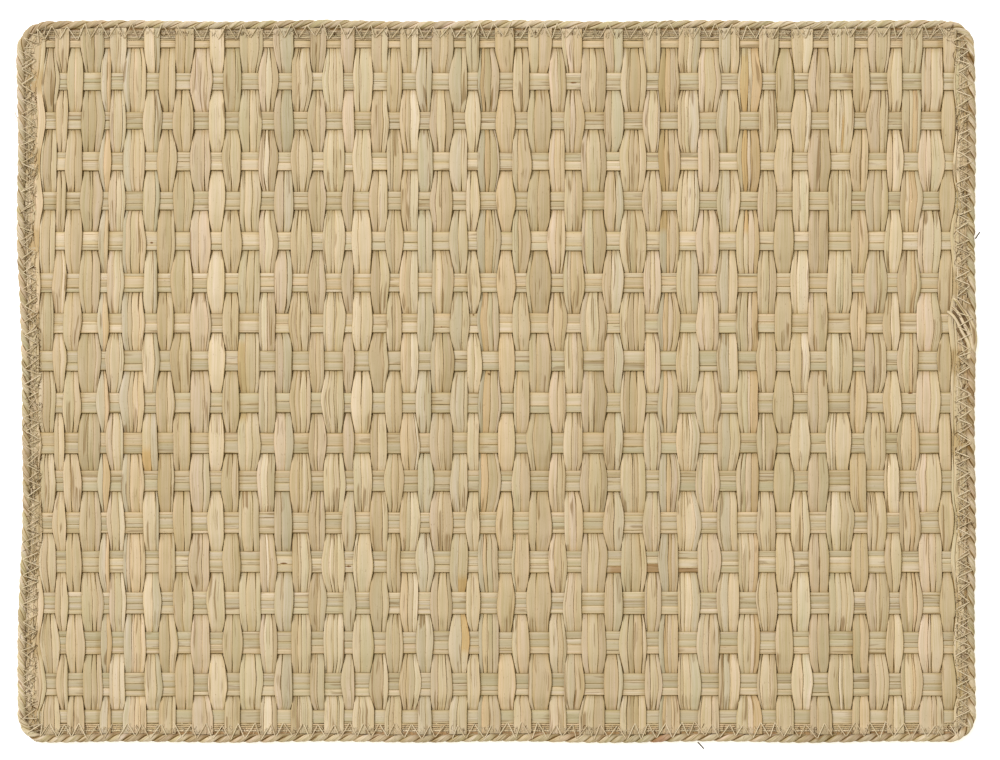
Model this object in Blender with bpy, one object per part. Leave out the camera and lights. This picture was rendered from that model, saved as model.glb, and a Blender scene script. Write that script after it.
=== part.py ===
"""Seagrass placemat: one woven panel of flat leaves inside one twisted edge cord.

Metres, +Z up. The mat lies on the table plane z = 0, its middle at the origin, its long side along X.
"""

import math
import random

import bmesh
import bpy
from mathutils import Vector

# The mat's outline, measured to the outside of the cord.
RIGHT_EDGE = 0.2241
LEFT_EDGE = -0.2250
TOP_EDGE = 0.1692
BOTTOM_EDGE = -0.1690
TOP_LEFT_RADIUS = 0.0150
OTHER_RADIUS = 0.0130

# The left side bows inwards once, and every side wavers a little.
BOW_DEPTH = 0.0029
BOW_CENTRE = -0.0320
BOW_SPREAD = 0.0700
WAVER = 0.0003
WAVER_LENGTH = 0.0900

# The edge cord: two strands twisted round each other, so its section has two lobes.
CORD_RADIUS = 0.0022
CORD_WAIST = 0.0016
CORD_TURN = 0.0140
STEPS_PER_TURN = 5
PIECE_GAP = 0.0003

# Where the cord ends, on the right side.
UPPER_END_Y = 0.0272
LOWER_END_Y = 0.0120

# The cord's lower end climbs over the edge and lies flat across the panel. One row for each place on it.
TAIL = (
    # x, y, height of its middle, half its width, half its thickness
    (0.2221, 0.0160, 0.0025, 0.0021, 0.0019),
    (0.2227, 0.0190, 0.0034, 0.0020, 0.0017),
    (0.2226, 0.0215, 0.0044, 0.0019, 0.0015),
    (0.2206, 0.0245, 0.0051, 0.0018, 0.0012),
    (0.2183, 0.0275, 0.0050, 0.0021, 0.0009),
    (0.2155, 0.0315, 0.0047, 0.0026, 0.0007),
    (0.2133, 0.0350, 0.0045, 0.0027, 0.0005),
)

# The panel: upright bunches of leaves over and under flat crosswise bands, one cloth with a level underside.
BUNCH_COUNT = 56
BAND_COUNT = 18
FIRST_BAND_Y = 0.1577
SECOND_BAND_Y = 0.1409
LAST_BAND_Y = -0.1573
NEXT_TO_LAST_BAND_Y = -0.1413
TOP_BAND_HEIGHT = 0.0080
BOTTOM_BAND_HEIGHT = 0.0105
OUTER_BAND_HEIGHT = 0.0045

# Where the bunches stand, counted from the left selvedge. They are wider apart on the right.
BUNCH_PLACES = (
    # bunch, x of its middle
    (0, -0.2161),
    (1, -0.2101),
    (7, -0.1702),
    (13, -0.1232),
    (19, -0.0772),
    (27, -0.0187),
    (33, 0.0277),
    (41, 0.0997),
    (53, 0.2035),
    (54, 0.2103),
    (55, 0.2168),
)
BUNCH_JITTER = 0.0004
BAND_JITTER = 0.0007
BUNCH_DRIFT = 0.0012

# Heights of the panel's upper face.
CREST = 0.0036
BAND_TOP = 0.0018
EDGE_TOP = 0.0024
SWELL = 0.0008
RIM_MARGIN = 0.0040
TWINED_ZONE = 0.0052


def linear(red, green, blue):
    """The linear colour of an 8-bit sRGB one."""
    return [((c / 255 + 0.055) / 1.055) ** 2.4 for c in (red, green, blue)]


def straw(name, colour, roughness):
    """Dry leaf: dull, slightly waxy, no metal."""
    material = bpy.data.materials.new(name)
    material.use_nodes = True
    shader = material.node_tree.nodes["Principled BSDF"]
    shader.inputs["Base Color"].default_value = (*linear(*colour), 1)
    shader.inputs["Roughness"].default_value = roughness
    shader.inputs["Metallic"].default_value = 0.0
    return material


def blended(table, position):
    """Reads a two-column table at a position between its rows."""
    for (start, low), (end, high) in zip(table, table[1:]):
        if position <= end:
            return low + (high - low) * (position - start) / (end - start)
    return table[-1][1]


def outline(inset, start_y=0.0, end_y=0.0, step=0.004):
    """The mat's outline moved inwards, anticlockwise from start_y on the right side to end_y on it."""
    points = []

    def run(start, end):
        count = max(1, round((end - start).length / step))
        points.extend(start.lerp(end, i / count) for i in range(count))

    def corner(x, y, radius, first_angle):
        radius -= inset
        count = max(3, round(radius * math.pi / 2 / step))
        for i in range(count):
            angle = math.radians(first_angle + 90 * i / count)
            points.append(Vector((x + radius * math.cos(angle), y + radius * math.sin(angle))))

    right, left = RIGHT_EDGE - inset, LEFT_EDGE + inset
    top, bottom = TOP_EDGE - inset, BOTTOM_EDGE + inset
    r, t = OTHER_RADIUS, TOP_LEFT_RADIUS
    run(Vector((right, start_y)), Vector((right, TOP_EDGE - r)))
    corner(RIGHT_EDGE - r, TOP_EDGE - r, r, 0)
    run(Vector((RIGHT_EDGE - r, top)), Vector((LEFT_EDGE + t, top)))
    corner(LEFT_EDGE + t, TOP_EDGE - t, t, 90)
    run(Vector((left, TOP_EDGE - t)), Vector((left, BOTTOM_EDGE + r)))
    corner(LEFT_EDGE + r, BOTTOM_EDGE + r, r, 180)
    run(Vector((LEFT_EDGE + r, bottom)), Vector((RIGHT_EDGE - r, bottom)))
    corner(RIGHT_EDGE - r, BOTTOM_EDGE + r, r, 270)
    run(Vector((right, BOTTOM_EDGE + r)), Vector((right, end_y)))
    return [uneven(point) for point in points]


def uneven(point):
    """Moves a point of the even outline to where the bowed and wavering one has it."""
    bow = BOW_DEPTH * math.exp(-(((point.y - BOW_CENTRE) / BOW_SPREAD) ** 2))
    leftness = min(1.0, max(0.0, -point.x / RIGHT_EDGE))
    wave_x = WAVER * math.sin(math.tau * point.y / WAVER_LENGTH)
    wave_y = WAVER * math.sin(math.tau * point.x / WAVER_LENGTH + 1.0)
    return Vector((point.x + bow * leftness**8 + wave_x, point.y + wave_y))


def even_steps(points, step):
    """Walks a line of points in equal steps, as (point, direction, distance)."""
    walked = []
    travelled, wanted = 0.0, 0.0
    for start, end in zip(points, points[1:]):
        length = (end - start).length
        while wanted <= travelled + length:
            share = (wanted - travelled) / length
            walked.append((start.lerp(end, share), (end - start) / length, wanted))
            wanted += step
        travelled += length
    return walked


def bunch_lines():
    """The middle of each upright bunch, from the left selvedge to the right one."""
    chance = random.Random(7)
    jitter = [chance.uniform(-BUNCH_JITTER, BUNCH_JITTER) for _ in range(BUNCH_COUNT)]
    return [blended(BUNCH_PLACES, bunch) + jitter[bunch] for bunch in range(BUNCH_COUNT)]


def band_lines():
    """The middle and the height of each crosswise band, from the top to the bottom."""
    chance = random.Random(3)
    even = (SECOND_BAND_Y - NEXT_TO_LAST_BAND_Y) / (BAND_COUNT - 3)
    bands = [(FIRST_BAND_Y, OUTER_BAND_HEIGHT)]
    for i in range(BAND_COUNT - 2):
        middle = SECOND_BAND_Y - i * even + chance.uniform(-BAND_JITTER, BAND_JITTER)
        share = i / (BAND_COUNT - 3)
        bands.append((middle, TOP_BAND_HEIGHT + share * (BOTTOM_BAND_HEIGHT - TOP_BAND_HEIGHT)))
    bands.append((LAST_BAND_Y, OUTER_BAND_HEIGHT * 1.3))
    return bands


def drift(x, y):
    """How far a bunch leans sideways at this height."""
    across = x / RIGHT_EDGE
    return -BUNCH_DRIFT * across * across * math.cos(math.pi * y / TOP_EDGE)


def add_object(name, bm, material):
    """Makes an object of a finished bmesh."""
    bmesh.ops.recalc_face_normals(bm, faces=bm.faces)
    mesh = bpy.data.meshes.new(name)
    bm.to_mesh(mesh)
    bm.free()
    mesh.materials.append(material)
    piece = bpy.data.objects.new(name, mesh)
    bpy.context.collection.objects.link(piece)
    return piece


def weave_rows():
    """The panel's rows of points, from the top down: y, and the index of the band there, if any."""
    bands = band_lines()
    rows = [(TOP_EDGE + RIM_MARGIN, None), (bands[0][0] + TWINED_ZONE, None)]
    for index, (middle, height) in enumerate(bands):
        rows.append((middle + height / 2, index))
        rows.append((middle - height / 2, index))
    rows += [(bands[-1][0] - TWINED_ZONE, None), (BOTTOM_EDGE - RIM_MARGIN, None)]
    return rows


def weave_height(bunch, band, at_middle):
    """The upper face's height at a bunch's middle or edge, on a band or beyond the last one."""
    if not at_middle:
        return BAND_TOP
    if band is None:
        return EDGE_TOP
    return CREST if (bunch + band) % 2 == 0 else BAND_TOP


def woven_slab():
    """A closed slab, a little larger than the panel, with the weave raised on its upper face."""
    middles = bunch_lines()
    bm = bmesh.new()
    grid = []
    for y, band in weave_rows():
        row = [(LEFT_EDGE - RIM_MARGIN, EDGE_TOP)]
        for bunch, x in enumerate(middles):
            row.append((x, weave_height(bunch, band, True)))
            if bunch + 1 < len(middles):
                # A bunch is widest over its band, so its edge there moves towards the bunch that lies under.
                side = 0 if band is None else (1 if (bunch + band) % 2 == 0 else -1)
                edge = (x + middles[bunch + 1]) / 2 + side * SWELL
                row.append((edge, weave_height(bunch, band, False)))
        row.append((RIGHT_EDGE + RIM_MARGIN, EDGE_TOP))
        grid.append([bm.verts.new((x + drift(x, y), y, z)) for x, z in row])
    for upper, lower in zip(grid, grid[1:]):
        for i in range(len(upper) - 1):
            bm.faces.new((lower[i], lower[i + 1], upper[i + 1], upper[i]))
    rim = [edge for edge in bm.edges if edge.is_boundary]
    walls = bmesh.ops.extrude_edge_only(bm, edges=rim)["geom"]
    for vert in walls:
        if isinstance(vert, bmesh.types.BMVert):
            vert.co.z = 0.0
    bmesh.ops.contextual_create(bm, geom=[edge for edge in bm.edges if edge.is_boundary])
    bmesh.ops.triangulate(bm, faces=[face for face in bm.faces if len(face.verts) == 4])
    return bm


def outline_cutter():
    """A prism of the panel's outline, taller than the slab, that trims it to shape."""
    bm = bmesh.new()
    inset = 2 * CORD_RADIUS + PIECE_GAP
    low = [bm.verts.new((p.x, p.y, -CREST)) for p in outline(inset, step=0.006)]
    face = bm.faces.new(low)
    top = bmesh.ops.extrude_face_region(bm, geom=[face])["geom"]
    for vert in top:
        if isinstance(vert, bmesh.types.BMVert):
            vert.co.z = 2 * CREST
    cutter = add_object("outline_cutter", bm, straw("cutter", (120, 120, 120), 0.5))
    cutter.hide_render = True
    cutter.display_type = "WIRE"
    return cutter


def woven_panel():
    """The one woven cloth, trimmed to the line just inside the cord."""
    panel = add_object("woven_panel", woven_slab(), straw("woven_leaf", (198, 176, 138), 0.62))
    trim = panel.modifiers.new("trim", "BOOLEAN")
    trim.operation = "INTERSECT"
    trim.object = outline_cutter()
    return panel


def cord_sections():
    """The cord's sections: middle, sideways direction, half its width, half its thickness, twist angle."""
    line = outline(CORD_RADIUS, UPPER_END_Y, LOWER_END_Y)
    sections = []
    step = CORD_TURN / STEPS_PER_TURN
    for point, along, distance in even_steps(line, step):
        side = Vector((along.y, -along.x, 0))
        middle = Vector((point.x, point.y, CORD_RADIUS))
        turn = math.tau * distance / CORD_TURN
        sections.append((middle, side, CORD_RADIUS, CORD_RADIUS, turn))
    places = [Vector(row[:3]) for row in TAIL]
    for i, row in enumerate(TAIL):
        before = places[i - 1] if i else sections[-1][0]
        along = (places[min(i + 1, len(places) - 1)] - before).normalized()
        side = Vector((along.y, -along.x, 0)).normalized()
        sections.append((places[i], side, row[3], row[4], turn))
    return sections


def edge_cord():
    """The two-strand cord, from its upper end anticlockwise round the mat to its loose lower end."""
    lobes = ((0, 1), (55, CORD_WAIST / CORD_RADIUS), (125, CORD_WAIST / CORD_RADIUS))
    profile = [(math.radians(angle + half), reach) for half in (0, 180) for angle, reach in lobes]
    bm = bmesh.new()
    rings = []
    for middle, side, half_width, half_thickness, turn in cord_sections():
        ring = []
        for angle, reach in profile:
            across = reach * half_width * math.cos(angle + turn)
            upward = reach * half_thickness * math.sin(angle + turn)
            ring.append(bm.verts.new(middle + side * across + Vector((0, 0, upward))))
        rings.append(ring)
    count = len(profile)
    for first, second in zip(rings, rings[1:]):
        for i in range(count):
            j = (i + 1) % count
            bm.faces.new((first[i], first[j], second[j], second[i]))
    bm.faces.new(rings[0])
    bm.faces.new(rings[-1])
    bmesh.ops.triangulate(bm, faces=bm.faces[:])
    return add_object("edge_cord", bm, straw("cord_leaf", (186, 162, 122), 0.66))


for old in list(bpy.data.objects):
    bpy.data.objects.remove(old, do_unlink=True)
woven_panel()
edge_cord()
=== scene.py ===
"""Seagrass placemat: split leaves in plain weave, a twisted cord round the edge, and its sewing."""

import math
import random

import bpy
import numpy as np
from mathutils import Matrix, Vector
from mathutils.bvhtree import BVHTree


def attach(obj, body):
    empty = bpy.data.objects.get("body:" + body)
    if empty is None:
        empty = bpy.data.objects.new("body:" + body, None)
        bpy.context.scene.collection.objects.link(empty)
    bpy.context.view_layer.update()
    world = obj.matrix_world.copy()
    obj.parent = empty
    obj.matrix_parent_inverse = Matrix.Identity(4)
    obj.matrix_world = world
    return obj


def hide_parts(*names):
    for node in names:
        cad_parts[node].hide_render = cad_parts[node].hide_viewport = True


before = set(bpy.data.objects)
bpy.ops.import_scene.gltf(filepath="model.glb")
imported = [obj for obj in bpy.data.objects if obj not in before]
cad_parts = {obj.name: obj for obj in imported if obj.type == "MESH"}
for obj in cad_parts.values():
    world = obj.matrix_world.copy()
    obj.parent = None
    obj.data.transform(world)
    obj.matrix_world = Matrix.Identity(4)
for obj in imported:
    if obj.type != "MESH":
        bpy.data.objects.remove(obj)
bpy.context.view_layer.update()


# The room: a white floor that gives off a little light, a dark plane on it where a mat keeps the light off
# the table, a camera straight above, and soft light from all sides with a large lamp up on the left.

MAT_MIDDLE = Vector((0.0014, 0.0007, 0.0))
VIEW_WIDTH = 0.46875
CAMERA_HEIGHT = 1.70
SENSOR_WIDTH = 0.036
SKY_COLOUR = (1.0, 0.93, 0.73, 1)
SKY_STRENGTH = 0.62
LAMP_PLACE = (-1.75, 1.875, 3.375)
LAMP_SIZE = 2.2
LAMP_POWER = 165
LAMP_COLOUR = (0.965, 1.0, 1.145)
FLOOR_SIZE = 6.0
FLOOR_DROP = 0.0002
FLOOR_COLOUR = (0.93, 0.93, 0.93, 1)
FLOOR_GLOW = 0.55
SHADE_SIZE = (0.432, 0.324)
SHADE_COLOUR = (0.28, 0.20, 0.11, 1)
PAINT_ROUGHNESS = 0.9

bpy.context.scene.view_settings.view_transform = "Standard"

bpy.ops.object.camera_add(location=MAT_MIDDLE + Vector((0, 0, CAMERA_HEIGHT)), rotation=(0, 0, 0))
camera = bpy.context.object
camera.name = "camera"
camera.data.sensor_width = SENSOR_WIDTH * 1000
camera.data.lens = SENSOR_WIDTH * 1000 * CAMERA_HEIGHT / VIEW_WIDTH
bpy.context.scene.camera = camera

world = bpy.data.worlds.new("soft_light")
world.use_nodes = True
world.node_tree.nodes["Background"].inputs["Color"].default_value = SKY_COLOUR
world.node_tree.nodes["Background"].inputs["Strength"].default_value = SKY_STRENGTH
bpy.context.scene.world = world

bpy.ops.object.light_add(type="AREA", location=LAMP_PLACE)
lamp = bpy.context.object
lamp.name = "large_lamp"
lamp.data.size = LAMP_SIZE
lamp.data.energy = LAMP_POWER
lamp.data.color = LAMP_COLOUR
lamp.rotation_euler = (-lamp.location).to_track_quat("-Z", "Y").to_euler()


def dull_paint(name, colour, glow=0.0):
    """A dull paint, which gives off white light of its own where glow is above 0."""
    paint = bpy.data.materials.new(name)
    paint.use_nodes = True
    sockets = paint.node_tree.nodes["Principled BSDF"].inputs
    sockets["Base Color"].default_value = colour
    sockets["Roughness"].default_value = PAINT_ROUGHNESS
    sockets["Emission Color"].default_value = (1, 1, 1, 1)
    sockets["Emission Strength"].default_value = glow
    return paint


bpy.ops.mesh.primitive_plane_add(size=FLOOR_SIZE, location=(0, 0, -FLOOR_DROP))
floor = bpy.context.object
floor.name = "floor"
floor.data.materials.append(dull_paint("floor_paint", FLOOR_COLOUR, FLOOR_GLOW))

bpy.ops.mesh.primitive_plane_add(size=1.0, location=(0, 0, -FLOOR_DROP / 2))
shade = bpy.context.object
shade.name = "shade_under_mat"
shade.scale = (*SHADE_SIZE, 1)
shade.data.materials.append(dull_paint("shade_paint", SHADE_COLOUR))


# The upright bunches: one to five flat leaves of split seagrass side by side, over one or two more that close
# their gaps. They go over and under the bands, each spreading over a band and drawing in under the next. A
# selvedge line runs down each side, with cut ends of leaves tucked in beside it.

RIGHT_EDGE = 0.2241
LEFT_EDGE = -0.2250
TOP_EDGE = 0.1692
BOTTOM_EDGE = -0.1690
TOP_LEFT_RADIUS = 0.0150
OTHER_RADIUS = 0.0130
BOW_DEPTH = 0.0029
BOW_CENTRE = -0.0320
BOW_SPREAD = 0.0700
BOW_FALL = 8
WAVER = 0.0003
WAVER_LENGTH = 0.0900
WAVER_LAG = 1.0
FINE_STEP, COARSE_STEP = 0.001, 0.002
NEAR_LINE = 0.0009
SIDE_X = 0.2080
CORD_RADIUS = 0.0022

BUNCH_COUNT = 56
BAND_COUNT = 18
FIRST_BAND_Y = 0.1580
SECOND_BAND_Y = 0.1409
LAST_BAND_Y = -0.1570
NEXT_TO_LAST_BAND_Y = -0.1413
TOP_BAND_HEIGHT = 0.0080
BOTTOM_BAND_HEIGHT = 0.0105
FIRST_BAND_HEIGHT = 0.0034
LAST_BAND_HEIGHT = 0.0064
BUNCH_PLACES = (
    # bunch, x of its middle
    (0, -0.2161),
    (1, -0.2101),
    (7, -0.1702),
    (13, -0.1232),
    (19, -0.0772),
    (27, -0.0187),
    (33, 0.0277),
    (41, 0.0997),
    (53, 0.2035),
    (54, 0.2103),
    (55, 0.2168),
)
BUNCH_JITTER = 0.0004
BAND_JITTER = 0.0007
BUNCH_DRIFT = 0.0012

MIDDLE_HEIGHT = 0.00185
WEAVE_RISE = 0.00080
WEAVE_DIP = 0.00052
LEAF_THICKNESS = 0.00021
LEAST_HALF_WIDTH = 0.0002
WARP_INSET = 0.0041
END_PLACES = (-0.2162, 0.2180)
END_CLEARANCE = 0.0005
END_REACH = 0.0011
BEND_MARKS = (0.0, 0.14, 0.24, 0.34, 0.44, 0.54, 0.64, 0.74, 0.86)
HOLD = 0.72

SWING = 0.00074
SWING_SHARES = (0.0, 1.7)
SWING_SHARPNESS = 1.25
SKEW = 0.16
BORDER_SHIFT = 0.00150
BORDER_SHAKE = 0.00048
SELVEDGE_SHIFT_SHARE = 0.2
SELVEDGE_HALF_PITCH = 0.0029
PINCH = 0.00085
PINCH_SHARES = (-0.6, 1)
LEAST_BUNCH_WIDTH = 0.0018

LEAF_PITCH = 0.0033
LEAF_COUNTS = (1, 5)
COUNT_SHAKE = (-1.1, 1.3)
SELVEDGE_LEAVES = 4
LEAF_SHARES = (0.45, 1.5)
WIDTH_SWAY = 0.60
LEAF_GAP = 0.00110
GAP_START = 0.05
GAP_MIDDLE, GAP_ENDS = 0.10, 0.90
OVERLAP_SHARE, OVERLAP_REST = 1.01, 0.00002
LAYER_STEP = 0.00008
LAYER_SHAKE = 0.00005
SIDE_SHAKE = 0.00008
BUNCH_ARCH = 0.00006
BUNCH_ROUNDING = 0.06
LEAF_ROLL, INNER_ROLL = 0.08, 0.02
ROLLING_WIDTH = 0.0014
CAMBER = 0.00005
CAMBER_SHAKE = 0.00006
CREASE = 0.45

INNER_DEPTH = 0.00048
INNER_WIDTH = 0.98
INNER_SPREAD = 0.0022
INNER_SAG = 0.00028
INNER_ARCH = 0.00060
INNER_PAINTED_SHADE = np.array([0.44, 0.31, 0.13])
BETWEEN_START, BETWEEN_RAMP = 0.26, 0.12

TUCKED_PAINTED_SHADE = np.array([0.84, 0.78, 0.65])
FOOT_PALENESS = 0.09
FOOT_REACH = 0.004
BUNCH_TONE, FLOAT_TONE, LEAF_TONE = 0.068, 0.042, 0.062
BESIDE_SELVEDGE = 0.08
OWN_TONE = (0.945, 1.055)
SELVEDGE_INSET = 0.0041
TONE = np.array([0.825, 0.857, 0.909])


def outline(inset, start_y=0.0, end_y=0.0, step=0.004):
    """The mat's outline moved inwards, anticlockwise from start_y on the right side to end_y on it."""
    points = []

    def run(start, end):
        count = max(1, round((end - start).length / step))
        points.extend(start.lerp(end, i / count) for i in range(count))

    def corner(x, y, radius, first_angle):
        radius -= inset
        count = max(3, round(radius * math.pi / 2 / step))
        for i in range(count):
            angle = math.radians(first_angle + 90 * i / count)
            points.append(Vector((x + radius * math.cos(angle), y + radius * math.sin(angle))))

    right, left = RIGHT_EDGE - inset, LEFT_EDGE + inset
    top, bottom = TOP_EDGE - inset, BOTTOM_EDGE + inset
    r, t = OTHER_RADIUS, TOP_LEFT_RADIUS
    run(Vector((right, start_y)), Vector((right, TOP_EDGE - r)))
    corner(RIGHT_EDGE - r, TOP_EDGE - r, r, 0)
    run(Vector((RIGHT_EDGE - r, top)), Vector((LEFT_EDGE + t, top)))
    corner(LEFT_EDGE + t, TOP_EDGE - t, t, 90)
    run(Vector((left, TOP_EDGE - t)), Vector((left, BOTTOM_EDGE + r)))
    corner(LEFT_EDGE + r, BOTTOM_EDGE + r, r, 180)
    run(Vector((LEFT_EDGE + r, bottom)), Vector((RIGHT_EDGE - r, bottom)))
    corner(RIGHT_EDGE - r, BOTTOM_EDGE + r, r, 270)
    run(Vector((right, BOTTOM_EDGE + r)), Vector((right, end_y)))
    return np.array([uneven(point) for point in points])


def uneven(point):
    """Moves a point of the even outline to where the bowed and wavering one has it."""
    bow = BOW_DEPTH * math.exp(-(((point.y - BOW_CENTRE) / BOW_SPREAD) ** 2))
    leftness = min(1.0, max(0.0, -point.x / RIGHT_EDGE))
    wave_x = WAVER * math.sin(math.tau * point.y / WAVER_LENGTH)
    wave_y = WAVER * math.sin(math.tau * point.x / WAVER_LENGTH + WAVER_LAG)
    return (point.x + bow * leftness**BOW_FALL + wave_x, point.y + wave_y)


def blended(table, position):
    """Reads a two-column table at a position between its rows."""
    for (start, low), (end, high) in zip(table, table[1:]):
        if position <= end:
            return low + (high - low) * (position - start) / (end - start)
    return table[-1][1]


def bunch_lines():
    """The middle of each upright bunch, from the left selvedge to the right one."""
    chance = random.Random(7)
    jitter = [chance.uniform(-BUNCH_JITTER, BUNCH_JITTER) for _ in range(BUNCH_COUNT)]
    return [blended(BUNCH_PLACES, bunch) + jitter[bunch] for bunch in range(BUNCH_COUNT)]


def band_lines():
    """The middle and the height of each crosswise band, from the top to the bottom."""
    chance = random.Random(3)
    even = (SECOND_BAND_Y - NEXT_TO_LAST_BAND_Y) / (BAND_COUNT - 3)
    bands = [(FIRST_BAND_Y, FIRST_BAND_HEIGHT)]
    for i in range(BAND_COUNT - 2):
        middle = SECOND_BAND_Y - i * even + chance.uniform(-BAND_JITTER, BAND_JITTER)
        share = i / (BAND_COUNT - 3)
        bands.append((middle, TOP_BAND_HEIGHT + share * (BOTTOM_BAND_HEIGHT - TOP_BAND_HEIGHT)))
    bands.append((LAST_BAND_Y, LAST_BAND_HEIGHT))
    return bands


def drift(x, y):
    """How far a bunch leans sideways at this height."""
    across = x / RIGHT_EDGE
    return -BUNCH_DRIFT * across * across * np.cos(math.pi * y / TOP_EDGE)


BUNCHES = bunch_lines()
BANDS = band_lines()


def linear(red, green, blue):
    """The linear colour of an 8-bit sRGB one."""
    return np.array([((c / 255 + 0.055) / 1.055) ** 2.4 for c in (red, green, blue)])


def edge_limits(inset, position, along):
    """The two ends of a straight line across the mat, on the axis that along names."""
    loop = outline(inset, step=FINE_STEP)
    across = 1 - along
    near = np.abs(loop[:, across] - position) < NEAR_LINE
    middle = np.median(loop[:, along])
    hits = loop[near, along]
    return hits[hits < middle].max() if along else hits[hits < 0].max(), hits[hits > 0].min()


BUNDLE_LEAVES = 4
# How fast a tube's painted shade fades from its inner side to its paler outer side.
OUTER_PALENESS = 0.75


class Leaves:
    """Gathers swept leaves and threads, and makes them one mesh with a leaf-wise UV map and a tint.

    The tint's fourth value says how near a point is to the leaf's edge: 0 in the middle and 1 at the edge.
    On tubes it says how far a point lies into their side with painted shade.
    """

    def __init__(self):
        self.points, self.quads, self.caps, self.uvs, self.tints = [], [], [], [], []
        self.count = 0

    def sweep(self, middle, up, across, lift, margin, tint, seed):
        """Sweeps a section along a line. across and lift have a row for each point of the line."""
        n, m = across.shape
        along = np.gradient(middle, axis=0)
        along /= np.linalg.norm(along, axis=1, keepdims=True)
        side = np.cross(along, up)
        side /= np.linalg.norm(side, axis=1, keepdims=True)
        upward = np.cross(side, along)
        rings = middle[:, None] + side[:, None] * across[..., None] + upward[:, None] * lift[..., None]
        travelled = np.concatenate([[0], np.cumsum(np.linalg.norm(np.diff(middle, axis=0), axis=1))])
        uv = np.stack([across * 1000 + seed * 37.7, np.repeat(travelled[:, None] * 1000, m, axis=1)], axis=-1)
        i, j = np.meshgrid(np.arange(n - 1), np.arange(m), indexing="ij")
        k = (j + 1) % m
        quads = np.stack([i * m + j, i * m + k, (i + 1) * m + k, (i + 1) * m + j], axis=-1).reshape(-1, 4)
        tints = np.empty((n, m, 4))
        tints[..., :3] = np.broadcast_to(tint, (n, 3))[:, None]
        tints[..., 3] = margin
        self.points.append(rings.reshape(-1, 3))
        self.quads.append(quads + self.count)
        self.caps.append(np.arange(m)[::-1] + self.count)
        self.caps.append(np.arange(m) + (n - 1) * m + self.count)
        self.uvs.append(uv.reshape(-1, 2))
        self.tints.append(tints.reshape(-1, 4))
        self.count += n * m

    def leaf(self, middle, half_width, thickness, camber, roll, tint, seed, crease=0.0, fade=1.0):
        """Sweeps a flat leaf: a lens with thin edges, arched by camber and rolled about its own line.

        Where fade is below 1, the brown margins and painted shade at its edges are fainter.
        """
        along = np.gradient(middle, axis=0)
        along /= np.linalg.norm(along, axis=1, keepdims=True)
        side = np.cross(along, (0, 0, 1))
        side /= np.linalg.norm(side, axis=1, keepdims=True)
        flat_up = np.cross(side, along)
        up = flat_up * np.cos(roll)[:, None] + side * np.sin(roll)[:, None]
        places = np.array([-1.0, -0.88, crease, 0.88, 1.0, 0.70, -0.70])
        skin = np.array([0.0, 0.42, 0.55, 0.42, 0.0, -0.5, -0.5])
        across = half_width[:, None] * places
        lift = camber[:, None] * (0.5 - places**2) + thickness * skin
        margin = np.abs(places) * np.broadcast_to(fade, len(middle))[:, None]
        self.sweep(middle, up, across, lift, margin, tint, seed)

    def tube(self, middle, up, radius_across, radius_up, sides, tint, seed, lobes=0.0, shaded=0.0):
        """Sweeps a round or oval section.

        lobes makes it a bundle of leaves, and shaded paints shade on its inner side, paler towards its outer
        side.
        """
        angles = np.arange(sides) * math.tau / sides
        bundle = 1 + lobes * np.sin(angles * BUNDLE_LEAVES + seed)
        shaded = np.broadcast_to(shaded, len(middle))[:, None]
        # Painted shade: the inner side of the tube is marked for darkening, the outer side paler.
        margin = np.clip(shaded - OUTER_PALENESS * np.sin(angles), 0, 1) * (shaded > 0)
        across = -np.cos(angles) * bundle * np.broadcast_to(radius_across, len(middle))[:, None]
        lift = np.sin(angles) * bundle * np.broadcast_to(radius_up, len(middle))[:, None]
        self.sweep(middle, up, across, lift, margin, tint, seed)

    def piece(self, name, material):
        """Makes the mesh and its object, and lets it ride on the mat."""
        points = np.concatenate(self.points)
        quads = np.concatenate(self.quads)
        mesh = bpy.data.meshes.new(name)
        mesh.vertices.add(len(points))
        mesh.vertices.foreach_set("co", points.astype(np.float32).ravel())
        cap_sizes = [len(cap) for cap in self.caps]
        corners = np.concatenate([quads.ravel(), *self.caps]).astype(np.int32)
        starts = np.concatenate([np.arange(len(quads)) * 4, quads.size + np.cumsum([0] + cap_sizes[:-1])])
        mesh.loops.add(len(corners))
        mesh.loops.foreach_set("vertex_index", corners)
        mesh.polygons.add(len(starts))
        mesh.polygons.foreach_set("loop_start", starts.astype(np.int32))
        mesh.polygons.foreach_set("use_smooth", np.ones(len(starts), bool))
        mesh.update(calc_edges=True)
        uv_map = mesh.uv_layers.new(name="leaf")
        uv_map.data.foreach_set("uv", np.concatenate(self.uvs)[corners].astype(np.float32).ravel())
        attribute = mesh.color_attributes.new("tint", "FLOAT_COLOR", "POINT")
        attribute.data.foreach_set("color", np.concatenate(self.tints).astype(np.float32).ravel())
        mesh.materials.append(material)
        mesh.validate()
        made = bpy.data.objects.new(name, mesh)
        bpy.context.collection.objects.link(made)
        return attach(made, "root")


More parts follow.
